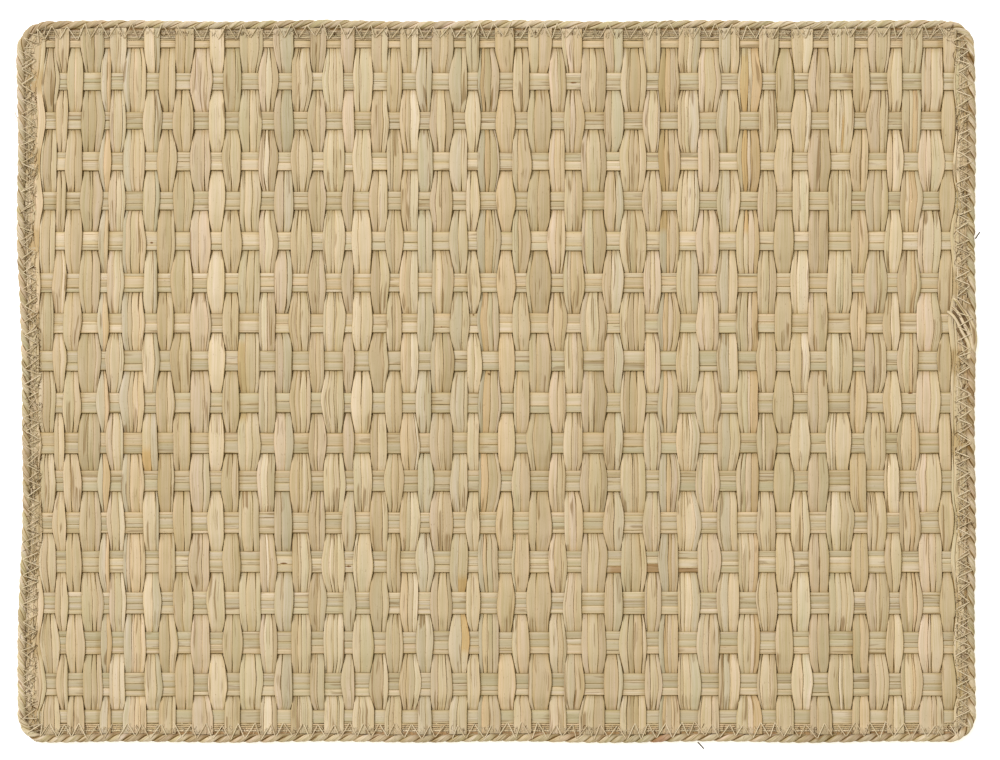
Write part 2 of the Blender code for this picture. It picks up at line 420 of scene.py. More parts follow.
class Wire:
    """One output in a material. Sums and products of wires are written as on numbers."""

    def __init__(self, tree, socket=None):
        self.tree, self.socket = tree, socket

    def node(self, kind, settings=None, inputs=None, output=0):
        """Adds a node: first its settings, then the values or wires of its sockets."""
        made = self.tree.nodes.new("ShaderNode" + kind)
        for name, value in (settings or {}).items():
            setattr(made, name, value)
        for name, value in (inputs or {}).items():
            if isinstance(value, Wire):
                self.tree.links.new(value.socket, made.inputs[name])
            else:
                made.inputs[name].default_value = value
        return Wire(self.tree, made.outputs[output])

    def math(self, operation, first, second=0.0):
        return self.node("Math", {"operation": operation}, {0: first, 1: second})

    def __add__(self, other):
        return self.math("ADD", self, other)

    def __sub__(self, other):
        return self.math("SUBTRACT", self, other)

    def __rsub__(self, other):
        return self.math("SUBTRACT", other, self)

    def __mul__(self, other):
        return self.math("MULTIPLY", self, other)

    __radd__, __rmul__ = __add__, __mul__

    def size(self):
        return self.math("ABSOLUTE", self)

    def rise(self, low, high):
        """Goes from 0 at low to 1 at high, smoothly."""
        settings = {"interpolation_type": "SMOOTHSTEP"}
        return self.node("MapRange", settings, {"Value": self, "From Min": low, "From Max": high})

    def noise(self, across, along, detail=2.0, roughness=0.5):
        """Noise on the leaf: so many waves to a millimetre across it and along it."""
        scaled = self.node("Mapping", {}, {"Vector": self, "Scale": (across, along, 1.0)})
        inputs = {"Vector": scaled, "Scale": 1.0, "Detail": detail, "Roughness": roughness}
        return self.node("TexNoise", {"noise_dimensions": "2D"}, inputs)

    def mixed(self, other, factor, blend="MIX"):
        """Mixes this colour with another."""
        settings = {"data_type": "RGBA", "blend_type": blend}
        return self.node("Mix", settings, {0: factor, 6: self, 7: other}, output=2)


# Painted warm shade towards leaf edges and on tubes' inner sides, where the leaves shade one another.
EDGE_WARM_SHADE = (0.97, 0.90, 0.68, 1)
GREENISH = (0.44, 0.42, 0.25, 1)
SPLIT_BROWN = (0.19, 0.104, 0.030, 1)
EDGE_BROWN_AND_SHADE = (0.16, 0.084, 0.022, 1)
SPECK_BROWN = (0.23, 0.14, 0.07, 1)
RELIEF_HEIGHT = 0.00018
LEAF_SPECULAR = 0.06


def leaf_material(name, streaks, splits, margins, specks, bump, roughness, unbroken=0.0):
    """Dry split leaf: lengthwise fibres and streaks, dark splits, greenish places and a few specks.

    Towards its edges a leaf has a pale band of painted highlight, then painted warm shade, and in
    stretches a dark edge that is partly its own brown margin and partly painted shade. The higher unbroken
    is, the further the dark edges run.
    """
    material = bpy.data.materials.new(name)
    material.use_nodes = True
    tree = material.node_tree
    shader = tree.nodes["Principled BSDF"]
    start = Wire(tree)
    tint = start.node("Attribute", {"attribute_name": "tint"})
    nearness = start.node("Attribute", {"attribute_name": "tint"}, output=3)
    place = start.node("UVMap", {"uv_map": "leaf"})
    fibres = place.noise(2.7, 0.03, 2.0, 0.6)
    streak = place.noise(0.85, 0.014, 2.0, 0.5)
    patches = place.noise(0.20, 0.045, 2.0, 0.5)
    tone = 1.0 + (fibres - 0.5) * (1.1 * streaks) + (streak - 0.5) * (0.6 * streaks) + (patches - 0.5) * 0.16
    # Painted highlight: a pale band just inside each leaf's edge, as though the edge caught the light.
    edge_highlight = nearness.rise(0.45, 0.78) - nearness.rise(0.80, 0.92)
    tone = tone + edge_highlight * (0.13 * margins)
    grey = start.node("CombineColor", {}, {"Red": tone, "Green": tone, "Blue": tone * tone})
    colour = tint.mixed(grey, 1.0, "MULTIPLY")
    # Painted warm shade, darker and warmer towards each leaf's edge.
    colour = colour.mixed(EDGE_WARM_SHADE, nearness.rise(0.40, 0.98) * 0.85, "MULTIPLY")
    green_place = place.noise(0.11, 0.011, 1.0, 0.5)
    colour = colour.mixed(GREENISH, green_place.rise(0.52, 0.80) * 0.28)
    line = place.noise(0.60, 0.010, 1.0, 0.5)
    gate = place.noise(0.23, 0.050, 1.0, 0.5)
    split = (1.0 - (line - 0.5).size().rise(0.005, 0.055)) * gate.rise(0.55, 0.63)
    colour = colour.mixed(SPLIT_BROWN, split * splits)
    # Dark edges in stretches: partly the leaf's own brown margin, partly painted shade between the leaves.
    border = nearness.rise(0.84, 0.99) * (gate + unbroken).rise(0.36, 0.54)
    colour = colour.mixed(EDGE_BROWN_AND_SHADE, border * margins)
    dot = place.noise(1.5, 0.55, 2.0, 0.6)
    colour = colour.mixed(SPECK_BROWN, dot.rise(0.70, 0.76) * specks)
    relief = fibres * 0.6 + streak * 0.4 - split * 0.8
    normal = start.node("Bump", {}, {"Strength": bump, "Distance": RELIEF_HEIGHT, "Height": relief})
    tree.links.new(colour.socket, shader.inputs["Base Color"])
    tree.links.new(normal.socket, shader.inputs["Normal"])
    rough = roughness + (streak - 0.5) * 0.2
    tree.links.new(rough.socket, shader.inputs["Roughness"])
    shader.inputs["Specular IOR Level"].default_value = LEAF_SPECULAR
    return material


LEAF_TINTS = (
    # colour of the leaf, how common it is
    (linear(212, 190, 150), 9),
    (linear(207, 184, 143), 8),
    (linear(203, 179, 139), 5),
    (linear(206, 181, 139), 5),
    (linear(200, 182, 146), 4),
    (linear(209, 185, 149), 4),
    (linear(197, 173, 133), 3),
    (linear(215, 195, 157), 2),
    (linear(206, 177, 132), 1),
    (linear(197, 180, 145), 1),
)
TONE_SHARES = np.array([1.0, 1.0, 1.3])
SELVEDGE_TINTS = (
    (linear(210, 185, 144), 3),
    (linear(204, 179, 136), 2),
    (linear(216, 194, 153), 2),
)


def pick_tint(chance, tints):
    """A leaf's colour, with a little of its own lightness. Darker leaves are warmer."""
    colours, weights = zip(*tints)
    colour = colours[chance.choice(len(tints), p=np.array(weights) / sum(weights))]
    return colour * chance.uniform(*OWN_TONE) ** TONE_SHARES * TONE


def weave_line(bunch, low, high):
    """Sample heights up the mat, how far over the bands the bunch is at each, and their count in bands."""
    turn_y, turn_side, spread_y = [], [], []
    for index in range(BAND_COUNT - 1, -1, -1):
        middle, height = BANDS[index]
        side = 1 if (bunch + index) % 2 == 0 else -1
        turn_y += [middle - height / 2, middle + height / 2]
        turn_side += [side, side]
        spread_y.append(middle)
    y = [(low * 2 + spread_y[0]) / 3, (low + spread_y[0] * 2) / 3]
    for start, end in zip(spread_y, spread_y[1:]):
        y += [start + (end - start) * mark for mark in BEND_MARKS]
    y += [spread_y[-1], (high + spread_y[-1] * 2) / 3, (high * 2 + spread_y[-1]) / 3]
    y = sorted(value for value in y if low + END_CLEARANCE < value < high - END_CLEARANCE)
    y = np.array([low, *y, high])
    return y, np.interp(y, turn_y, turn_side), np.interp(y, spread_y, np.arange(BAND_COUNT))


def eased(values, phase):
    """A smooth course with one value for each whole step of the phase, read at each sample."""
    index = np.clip(np.floor(phase).astype(int), 0, values.shape[-1] - 2)
    part = (1 - np.cos((phase - index) * math.pi)) / 2
    return values[..., index] * (1 - part) + values[..., index + 1] * part


def stepped(values, phase, parity, flat):
    """A course that stays as it is where the leaf shows, and changes where it is hidden.

    It shows at every second step of the phase, from parity on. flat is how much of the way to the middle of
    the hidden stretch it keeps its value.
    """
    position = (phase - parity) / 2 + 1
    index = np.clip(np.floor(position).astype(int), 0, values.shape[-1] - 2)
    share = np.clip((position - index - flat / 2) / (1 - flat), 0, 1)
    part = (1 - np.cos(share * math.pi)) / 2
    return values[..., index] * (1 - part) + values[..., index + 1] * part


AMBER_SHADE = np.array([0.93, 0.79, 0.57])
AMBER_FADE = 0.003
AMBER_LEAVES = (
    # bunch, which of its leaves, y where the stain begins, y where it ends
    (39, 0, 0.1580, 0.0690),
    (43, 1, 0.1550, 0.0680),
    (48, 2, 0.1260, 0.1080),
    (14, 0, 0.0200, -0.0200),
    (27, 1, -0.0900, -0.1280),
    (8, 0, -0.0300, -0.0480),
)
SELVEDGE_RISE = 0.00048
SELVEDGE_SWAY = 0.2
END_LIFT = 0.0008

STUB_COUNT = 74
STUB_REACH = 0.1540
STUB_INSETS = (0.0004, 0.0046)
STUB_LENGTHS = (0.0030, 0.0085)
STUB_HALF_WIDTHS = (0.00035, 0.00085)
STUB_RISES = (0.00015, 0.00045)
STUB_LEAN, STUB_BEND, STUB_LIFT, STUB_ROLL = 0.40, 0.0004, 0.00025, 0.25
STUB_DROOP = 0.0002
STUB_TONES = (0.90, 1.10)
STUB_SAMPLES = 6
STUB_SEED, STUB_SEEDS = 460, 30

RIM_INSET = 0.0052
RIM_HALF_WIDTH = 0.0019
RIM_HEIGHT = 0.0017
RIM_TINT = linear(172, 140, 98)
RIM_SEED = 490

warp_chance = np.random.default_rng(11)
warp_leaf = leaf_material("warp_leaf", 0.41, splits=0.68, margins=0.68, specks=0.5, bump=0.4, roughness=0.68)
WARP_GROUPS = (("warp_left", 0, 19), ("warp_middle", 19, 37), ("warp_right", 37, 56))


def selvedge_side(direction, y):
    """Where the selvedge leaves end beside the cord, on the left for direction -1 and on the right for 1."""
    loop = outline(SELVEDGE_INSET, step=FINE_STEP)
    loop = loop[loop[:, 0] * direction > SIDE_X]
    loop = loop[np.argsort(loop[:, 1])]
    return np.interp(y, loop[:, 1], loop[:, 0])


def border_course(border, y, phase):
    """Where the border between two bunches runs. The one that lies over a band there pushes it aside."""
    parity = (border + BAND_COUNT) % 2
    off_band = np.abs((phase + eased(SKEWS[border], phase) - parity + 1) % 2 - 1)
    swell = np.clip((1 - 2 * off_band) * SWING_SHARPNESS, -1, 1)
    return BORDERS[border] + eased(SHAKES[border], phase) + SWING * eased(SWINGS[border], phase) * swell


def bunch_sides(bunch, y, ramp, phase, pinches):
    """Where the two sides of a bunch run. pinches says how far each draws in where it dives under a band."""
    bend = drift(BUNCHES[bunch], y)
    under = np.clip(-ramp, 0, 1)
    left = border_course(bunch, y, phase) + bend + eased(pinches[0], phase) * under
    right = border_course(bunch + 1, y, phase) + bend - eased(pinches[1], phase) * under
    if bunch == 0:
        left = selvedge_side(-1, y)
    if bunch == BUNCH_COUNT - 1:
        right = selvedge_side(1, y)
    return left, right


def stained(tint, bunch, number, y):
    """The tint of one leaf of a bunch, amber along the stretch that AMBER_LEAVES gives for it."""
    for amber_bunch, amber_number, top, bottom in AMBER_LEAVES:
        if (bunch, number) == (amber_bunch, amber_number):
            stain = np.clip(np.minimum(top - y, y - bottom) / AMBER_FADE, 0, 1)[:, None]
            tint = tint * (1 - stain + AMBER_SHADE * stain)
    return tint


def bunch_leaves(outer, inner, bunch):
    """Adds one upright bunch: its outer leaves, and one or two under them that close the gaps, painted with
    shade.
    """
    chance = warp_chance
    parity = (bunch + BAND_COUNT - 1) % 2
    edge = bunch in (0, BUNCH_COUNT - 1)
    pitch = BORDERS[bunch + 1] - BORDERS[bunch]
    outer_count = SELVEDGE_LEAVES
    if not edge:
        outer_count = int(np.clip(round(pitch / LEAF_PITCH + chance.uniform(*COUNT_SHAKE)), *LEAF_COUNTS))
    inner_count = int(chance.choice((1, 2)))
    tints = SELVEDGE_TINTS if edge else LEAF_TINTS
    pinches = chance.uniform(*PINCH_SHARES, (2, BAND_COUNT + 1)).clip(0) * PINCH
    float_tone = 1 + BUNCH_TONE * chance.uniform(-1, 1) + FLOAT_TONE * chance.uniform(-1, 1, BAND_COUNT + 1)
    if bunch in (1, BUNCH_COUNT - 2):
        float_tone -= BESIDE_SELVEDGE
    for leaves, count, depth, hidden, skip in (
        (outer, outer_count, 0.0, False, 1),
        (inner, inner_count, INNER_DEPTH, True, 2),
    ):
        shares = chance.uniform(*LEAF_SHARES, count)
        courses = chance.uniform(-1, 1, (count, BAND_COUNT))
        for number in range(count):
            guess = (shares[:number].sum() + shares[number] / 2) / shares.sum() - 0.5
            low, high = edge_limits(WARP_INSET, np.clip(BUNCHES[bunch] + guess * pitch, *END_PLACES), 1)
            y, ramp, phase = weave_line(bunch, low, high)
            side = np.sin(ramp * math.pi / 2)
            off_band = np.abs((phase - parity + 1) % 2 - 1)
            at_end = np.clip((off_band - 0.25) / 0.45, 0, 1)
            left, right = bunch_sides(bunch, y, ramp, phase, pinches * (not hidden))
            width = np.maximum(right - left, LEAST_BUNCH_WIDTH)
            if hidden:
                width = width * INNER_WIDTH + INNER_SPREAD * np.clip(-ramp, 0, 1)
            weights = shares[:, None] * (1 + WIDTH_SWAY * stepped(courses, phase, parity, HOLD))
            weights /= weights.sum(axis=0)
            place = weights[:number].sum(axis=0) + weights[number] / 2 - 0.5
            own = chance.uniform(-1, 1, (6, BAND_COUNT + 1))

            rise = np.where(side > 0, WEAVE_RISE, WEAVE_DIP) * side
            if edge:
                rise = SELVEDGE_RISE + SELVEDGE_SWAY * WEAVE_RISE * side
            layer = (LAYER_STEP if number % 2 else -LAYER_STEP) + LAYER_SHAKE * eased(own[0], phase)
            arch = BUNCH_ARCH * side * (1 - (2 * place) ** 2)
            near_end = np.exp(-np.minimum(y - y[0], y[-1] - y) / END_REACH)
            end_lift = END_LIFT * near_end * np.clip(side, -0.5, 1) * (not hidden)
            middle_z = MIDDLE_HEIGHT + rise + arch + layer + end_lift - depth
            middle_x = (left + right) / 2 + place * width + SIDE_SHAKE * eased(own[1], phase)
            opening = GAP_MIDDLE + GAP_ENDS * at_end
            gap = LEAF_GAP * np.clip(eased(own[5], phase) - GAP_START, 0, 1) * opening * (not hidden)
            half_width = weights[number] * width / 2 * OVERLAP_SHARE + OVERLAP_REST - gap / 2
            steady = np.minimum(1, ROLLING_WIDTH / half_width.clip(LEAST_HALF_WIDTH))
            own_roll = (INNER_ROLL if hidden else LEAF_ROLL) * eased(own[2], phase)
            roll = (BUNCH_ROUNDING * place * side + own_roll) * steady
            camber = CAMBER * side + CAMBER_SHAKE * eased(own[3], phase)

            tone = stepped(float_tone, phase, parity, HOLD) + LEAF_TONE * stepped(own[4], phase, parity, HOLD)
            tone = tone * (1 + FOOT_PALENESS * np.exp((y[0] - y) / FOOT_REACH))
            # Painted shade where the leaf dives under a band.
            diving = np.clip(-ramp - 0.5, 0, 0.5)[:, None] * 2
            dive_painted_shade = 1 - diving + TUCKED_PAINTED_SHADE * diving
            tint = pick_tint(chance, tints) * tone[:, None] ** TONE_SHARES * dive_painted_shade
            if hidden:
                between = np.clip((off_band - BETWEEN_START) / BETWEEN_RAMP, 0, 1) * np.clip(ramp * 3, 0, 1)
                middle_z = middle_z - INNER_SAG * between
                camber = camber + INNER_ARCH * between
                # Painted shade: the inner leaves are dark except where the bunch runs under a band, since
                # from above they show only in the shadowed gaps.
                upper_side_shade = np.clip(side * 1.5 + 1.6, 0, 1)[:, None]
                tint = tint * (1 - upper_side_shade + INNER_PAINTED_SHADE * upper_side_shade)
            else:
                tint = stained(tint, bunch, number, y)

            middle = np.stack([middle_x, y, middle_z], axis=1)
            half_width = np.maximum(half_width, LEAST_HALF_WIDTH)
            crease = chance.uniform(-CREASE, CREASE)
            seed = bunch * 8 + number + 6 * (skip - 1)
            picked = slice(None, None, skip)
            shape = (middle[picked], half_width[picked], LEAF_THICKNESS, camber[picked], roll[picked])
            # The edges' brown and painted shade are full only towards each float's ends.
            leaves.leaf(*shape, tint[picked], seed, crease, (0.87 + 0.13 * at_end)[picked])


def selvedge_stubs(leaves, direction):
    """Adds the ends of leaves that were turned in along one side and cut off beside the cord."""
    chance = warp_chance
    share = np.linspace(-0.5, 0.5, STUB_SAMPLES)
    for number in range(STUB_COUNT):
        y = STUB_REACH * (2 * (number + chance.random()) / STUB_COUNT - 1)
        x = selvedge_side(direction, y) - direction * chance.uniform(*STUB_INSETS)
        lean = chance.uniform(-STUB_LEAN, STUB_LEAN)
        length = chance.uniform(*STUB_LENGTHS)
        bend = chance.uniform(-STUB_BEND, STUB_BEND) * (1 - 4 * share**2)
        height = MIDDLE_HEIGHT + SELVEDGE_RISE + chance.uniform(*STUB_RISES)
        lift = chance.uniform(-STUB_LIFT, STUB_LIFT) * share * 2 - STUB_DROOP * (2 * share) ** 4
        middle_x = x + share * length * math.sin(lean) + bend
        middle = np.stack([middle_x, y + share * length, height + lift], axis=1)
        half_width = np.full(STUB_SAMPLES, chance.uniform(*STUB_HALF_WIDTHS)) * (1 - 0.3 * np.abs(share))
        roll = np.full(STUB_SAMPLES, chance.uniform(-STUB_ROLL, STUB_ROLL))
        tint = pick_tint(chance, SELVEDGE_TINTS) * chance.uniform(*STUB_TONES)
        seed = STUB_SEED + number % STUB_SEEDS
        leaves.leaf(middle, half_width, LEAF_THICKNESS, np.zeros(STUB_SAMPLES), roll, tint, seed)


middles = [(a + b) / 2 for a, b in zip(BUNCHES, BUNCHES[1:])]
BORDERS = np.array([BUNCHES[0] - SELVEDGE_HALF_PITCH, *middles, BUNCHES[-1] + SELVEDGE_HALF_PITCH])
shifts = warp_chance.uniform(-BORDER_SHIFT, BORDER_SHIFT, BUNCH_COUNT + 1)
shifts[[0, 1, -2, -1]] *= SELVEDGE_SHIFT_SHARE
BORDERS += shifts
course_shape = (BUNCH_COUNT + 1, BAND_COUNT + 1)
SHAKES = warp_chance.uniform(-BORDER_SHAKE, BORDER_SHAKE, course_shape)
SWINGS = warp_chance.uniform(*SWING_SHARES, course_shape)
SKEWS = warp_chance.uniform(-SKEW, SKEW, course_shape)
BUNCH_MIDDLES = (BORDERS[:-1] + BORDERS[1:]) / 2
warp_pieces = []
inner = Leaves()
for group_name, first_bunch, last_bunch in WARP_GROUPS:
    group = Leaves()
    for bunch in range(first_bunch, last_bunch):
        bunch_leaves(group, inner, bunch)
    if first_bunch == 0 or last_bunch == BUNCH_COUNT:
        selvedge_stubs(group, -1 if first_bunch == 0 else 1)
    warp = group.piece(group_name, warp_leaf)
    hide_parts("woven_panel")
    left = BUNCHES[first_bunch]
    right = BUNCHES[last_bunch - 1]
    right - left + 0.008
    warp_pieces.append(warp)
# A loop of leaf under the cord's inner edge that closes the weave there; its dark tint is painted shade in
# the groove between cord and weave.
loop = outline(RIM_INSET, step=COARSE_STEP)
loop = np.concatenate([loop, loop[:1]])
middle = np.column_stack([loop, np.full(len(loop), RIM_HEIGHT)])
flat = np.zeros(len(loop))
inner.leaf(middle, flat + RIM_HALF_WIDTH, LEAF_THICKNESS, flat, flat, RIM_TINT, RIM_SEED)
inner_leaves = inner.piece("inner_leaves", warp_leaf)
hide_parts("woven_panel")


# The crosswise bands: one to four flat leaves edge to edge, greyer than the bunches and drawn nearly
# straight, so that it is the bunches that bend round them. Beyond the outermost lie a few rows of thin
# twined leaf, which keep the weave from slipping.

KNOT_TINT = linear(118, 84, 48)
KNOT_RISE = 0.00026
KNOT_THICKNESS = 0.00012
KNOT_HALF_WIDTHS = np.array([0.0001, 0.0003, 0.0004, 0.0003, 0.0001])
KNOT_SEED = 590
KNOTS = (
    # x, y, length
    (0.0380, 0.1399, 0.0030),
    (0.0502, 0.1399, 0.0016),
    (-0.0994, -0.0851, 0.0034),
    (-0.0694, -0.0865, 0.0026),
    (0.1964, -0.0054, 0.0022),
    (-0.0122, 0.0312, 0.0008),
    (-0.0247, 0.0255, 0.0008),
    (-0.0050, 0.0036, 0.0012),
    (0.1340, -0.1040, 0.0018),
    (-0.1580, 0.0650, 0.0014),
)
BAND_TINTS = (
    (linear(205, 186, 149), 5),
    (linear(199, 180, 143), 5),
    (linear(209, 188, 150), 4),
    (linear(195, 177, 141), 3),
    (linear(202, 179, 139), 3),
)
WEFT_INSET = 0.0046
WEFT_SINK = 0.00016
WEFT_STEP = 0.00150
WEFT_COUNTS, WEFT_COUNT_ODDS = (2, 3, 4), (0.35, 0.42, 0.23)
WEFT_SHARES = (0.6, 1.5)
WEFT_SWAY = 0.50
WEFT_HOLD = 0.5
WEFT_HEIGHT_SHAKE = 0.04
WEFT_SHAKE = 0.00008
WEFT_LAYERS = (-0.00003, 0.00007)
WEFT_LAYER_SHAKE = 0.00004
WEFT_OVERLAP = 1.04
WEFT_ROLL = 0.05
WEFT_TONE = 0.09
WEFT_SEED = 500

STREAK_BAND = 13
STREAK_START, STREAK_END = 0.0500, 0.0975
STREAK_FADE = 0.004
STREAK_STRENGTH = 0.8
STREAK_TINT = linear(150, 118, 78)

TWINED_PLACES = (
    # band beyond which they lie, y of the first row, rows, way in which they follow, brightness
    (0, 0.1602, 5, 1, 1.0),
    # The bottom rows are painted lighter, to offset the shade that the last band casts on them.
    (BAND_COUNT - 1, -0.1607, 4, -1, 1.30),
)
TWINED_INSET = 0.0050
TWINED_STEP = 0.00110
TWINED_PITCH = 0.00094
TWINED_SHORTENING = 1.3
TWINED_RADII = (0.00046, 0.00028)
TWINED_SHAKES = (0.00010, 0.00012, 0.16)
TWINED_SIDES = 5
TWINED_SEED = 600
TWINED_TINTS = (
    (linear(199, 175, 135), 3),
    (linear(185, 159, 118), 2),
    (linear(209, 187, 148), 2),
)

weft_chance = np.random.default_rng(23)
weft_leaf = leaf_material("weft_leaf", 0.41, splits=0.52, margins=0.66, specks=0.4, bump=0.4, roughness=0.66)


def over_and_under(index, x):
    """How much the bunches over a band press it down at each place along it."""
    sides = [1 if (bunch + index) % 2 == 0 else -1 for bunch in range(BUNCH_COUNT)]
    ramp = np.interp(x, BUNCH_MIDDLES, sides)
    return np.sin(ramp * math.pi / 2)


weft = Leaves()
for index, (band_y, band_height) in enumerate(BANDS):
    low, high = edge_limits(WEFT_INSET, band_y, 0)
    x = np.linspace(low, high, int((high - low) / WEFT_STEP))
    press = over_and_under(index, x)
    phase = np.interp(x, BUNCH_MIDDLES, np.arange(BUNCH_COUNT))
    outer = index in (0, BAND_COUNT - 1)
    count = 1 if outer else int(weft_chance.choice(WEFT_COUNTS, p=WEFT_COUNT_ODDS))
    parity = (index + 1) % 2
    shares = weft_chance.uniform(*WEFT_SHARES, count)
    courses = weft_chance.uniform(-1, 1, (count, BUNCH_COUNT))
    weights = shares[:, None] * (1 + WEFT_SWAY * stepped(courses, phase, parity, WEFT_HOLD))
    weights /= weights.sum(axis=0)
    height_course = weft_chance.uniform(-WEFT_HEIGHT_SHAKE, WEFT_HEIGHT_SHAKE, BUNCH_COUNT)
    height = band_height * (1 + stepped(height_course, phase, parity, WEFT_HOLD))
    for number in range(count):
        own = weft_chance.uniform(-1, 1, (4, BUNCH_COUNT + 1))
        place = 0.5 - weights[:number].sum(axis=0) - weights[number] / 2
        y = band_y + place * height + WEFT_SHAKE * eased(own[0], phase)
        layer = WEFT_LAYERS[number % 2] + WEFT_LAYER_SHAKE * eased(own[1], phase)
        z = MIDDLE_HEIGHT - WEFT_SINK * press + layer
        half_width = weights[number] * height / 2 * WEFT_OVERLAP
        roll = WEFT_ROLL * eased(own[2], phase)
        tone = 1 + WEFT_TONE * stepped(own[3], phase, parity, WEFT_HOLD)[:, None]
        tint = pick_tint(weft_chance, BAND_TINTS) * tone**TONE_SHARES
        # Painted shade: the band darkens where it runs under the bunches and towards the ends of its showing
        # patches.
        covered = np.clip(press * 1.6 + 0.9, 0, 1)[:, None]
        tint = tint * (1 - covered + TUCKED_PAINTED_SHADE * covered)
        if index == STREAK_BAND and number == count - 1:
            inside = np.clip(np.minimum(x - STREAK_START, STREAK_END - x) / STREAK_FADE, 0, 1)[:, None]
            inside = inside * STREAK_STRENGTH
            tint = tint * (1 - inside) + STREAK_TINT * inside
        middle = np.stack([x, y, z], axis=1)
        camber = np.full(len(x), CAMBER)
        crease = weft_chance.uniform(-CREASE, CREASE)
        seed = WEFT_SEED + index * 4 + number
        weft.leaf(middle, half_width, LEAF_THICKNESS, camber, roll, tint, seed, crease)
for number, (x, y, length) in enumerate(KNOTS):
    index = int(np.abs([y - band_y for band_y, _ in BANDS]).argmin())
    under = BUNCH_MIDDLES[(index + 1) % 2 :: 2]
    knot_x = under[np.abs(under - x).argmin()] + np.linspace(-0.5, 0.5, 5) * length
    middle = np.stack([knot_x, np.full(5, y), np.full(5, MIDDLE_HEIGHT + KNOT_RISE)], axis=1)
    shape = (middle, KNOT_HALF_WIDTHS, KNOT_THICKNESS, np.zeros(5), np.zeros(5))
    weft.leaf(*shape, KNOT_TINT, KNOT_SEED + number)
weft_bands = weft.piece("weft_bands", weft_leaf)

twined = Leaves()
for index, first_y, rows, direction, brightness in TWINED_PLACES:
    low, high = edge_limits(TWINED_INSET, first_y, 0)
    for row in range(rows):
        row_y = first_y + direction * row * TWINED_PITCH
        shorter = row * TWINED_PITCH * TWINED_SHORTENING
        x = np.linspace(low + shorter, high - shorter, int((high - low) / TWINED_STEP))
        press = over_and_under(index, x)
        shake = weft_chance.uniform(-1, 1, (3, len(x)))
        y = row_y + TWINED_SHAKES[0] * shake[0]
        z = MIDDLE_HEIGHT - WEFT_SINK * press + TWINED_SHAKES[1] * shake[1]
        middle = np.stack([x, y, z], axis=1)
        tint = pick_tint(weft_chance, TWINED_TINTS) * (brightness + TWINED_SHAKES[2] * shake[2])[:, None]
        twined.tube(middle, (0, 0, 1), *TWINED_RADII, TWINED_SIDES, tint, TWINED_SEED + index + row)
twined_rows = twined.piece("twined_rows", weft_leaf)
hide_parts("woven_panel")
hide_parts("woven_panel")


# The edge cord: two strands of twisted leaf, each a bundle of fibres, laid round the mat against the woven
# edge and sewn to it. On the right side its lower end thins out to the table, and opens into three leaves
# that cross the upper end and lie as flat tails on the weave.

CORD_TURN = 0.0142
TOP_TURN = 0.0165
STRAND_REACH = 0.00088
STRAND_ACROSS = 0.00118
STRAND_ALONG = 0.00150
CORD_STEP = 0.00100
ROUTE_STEP = 0.003
CORD_CLEARANCE = 0.0002
CORD_MARKS = 60
TWIST_SHAKE = 1.2
REACH_SHAKE = 0.12
SWELL_SHAKE = 0.08
STRAND_TONES = (0.88, 1.12)
STRAND_SIDES = 18
STRAND_LOBES = 0.10
# Painted shade in the valleys between the strands, more where shady says the cord faces away from the lamp.
STRAND_DARKNESS, SHADY_DARKNESS = 0.60, 0.24
SHADY_SHARE = 0.8
STRAND_SEED = 700
TOP_ZONE_Y = 0.15
UPPER_END_Y = 0.0225
LOWER_END_Y = 0.0245
THIN_REACH = 0.0060
THINNEST = 0.35
# Painted shade on each strand's side towards the mat, least on the top and left, most on the right and
# bottom.
HOLLOW_PAINTED_SHADE = np.array([0.55, 0.45, 0.32])
HOLLOW_LEAST, HOLLOW_SHADY = 0.12, 0.88
BROWN_PATCH = Vector((0.0750, -0.1668))
BROWN_REACH = 0.0050
BROWN_EDGE = 1.4
BROWN_STRENGTH = 0.75
BROWN_TINT = linear(158, 112, 84)
CORD_TINTS = (
    (linear(208, 187, 149), 4),
    (linear(200, 177, 139), 4),
    (linear(190, 165, 127), 2),
    (linear(214, 194, 157), 2),
    (linear(196, 178, 137), 2),
)
TAILS = (
    # a group for each tail, with x, y, height, half width, half thickness
    (
        (0.2222, 0.0115, 0.0024, 0.0011, 0.0011),
        (0.2229, 0.0155, 0.0034, 0.0014, 0.0012),
        (0.2232, 0.0198, 0.0040, 0.0015, 0.0011),
        (0.2228, 0.0244, 0.0044, 0.0013, 0.0009),
        (0.2212, 0.0286, 0.0047, 0.0010, 0.0008),
        (0.2189, 0.0321, 0.0048, 0.0009, 0.0007),
        (0.2166, 0.0352, 0.0048, 0.0009, 0.0006),
        (0.2151, 0.0380, 0.0046, 0.0008, 0.0006),
        (0.2134, 0.0387, 0.0042, 0.0007, 0.0005),
    ),
    (
        (0.2222, 0.0150, 0.0034, 0.0011, 0.0010),
        (0.2221, 0.0190, 0.0040, 0.0011, 0.0009),
        (0.2206, 0.0230, 0.0044, 0.0010, 0.0008),
        (0.2186, 0.0264, 0.0046, 0.0008, 0.0007),
        (0.2168, 0.0300, 0.0047, 0.0007, 0.0006),
        (0.2150, 0.0331, 0.0046, 0.0007, 0.0006),
        (0.2127, 0.0348, 0.0042, 0.0006, 0.0005),
    ),
    (
        (0.2208, 0.0105, 0.0026, 0.0012, 0.0011),
        (0.2214, 0.0150, 0.0036, 0.0012, 0.0011),
        (0.2200, 0.0190, 0.0041, 0.0010, 0.0009),
        (0.2174, 0.0232, 0.0044, 0.0008, 0.0008),
        (0.2152, 0.0280, 0.0046, 0.0007, 0.0007),
        (0.2131, 0.0311, 0.0045, 0.0007, 0.0006),
        (0.2106, 0.0328, 0.0040, 0.0006, 0.0005),
    ),
)
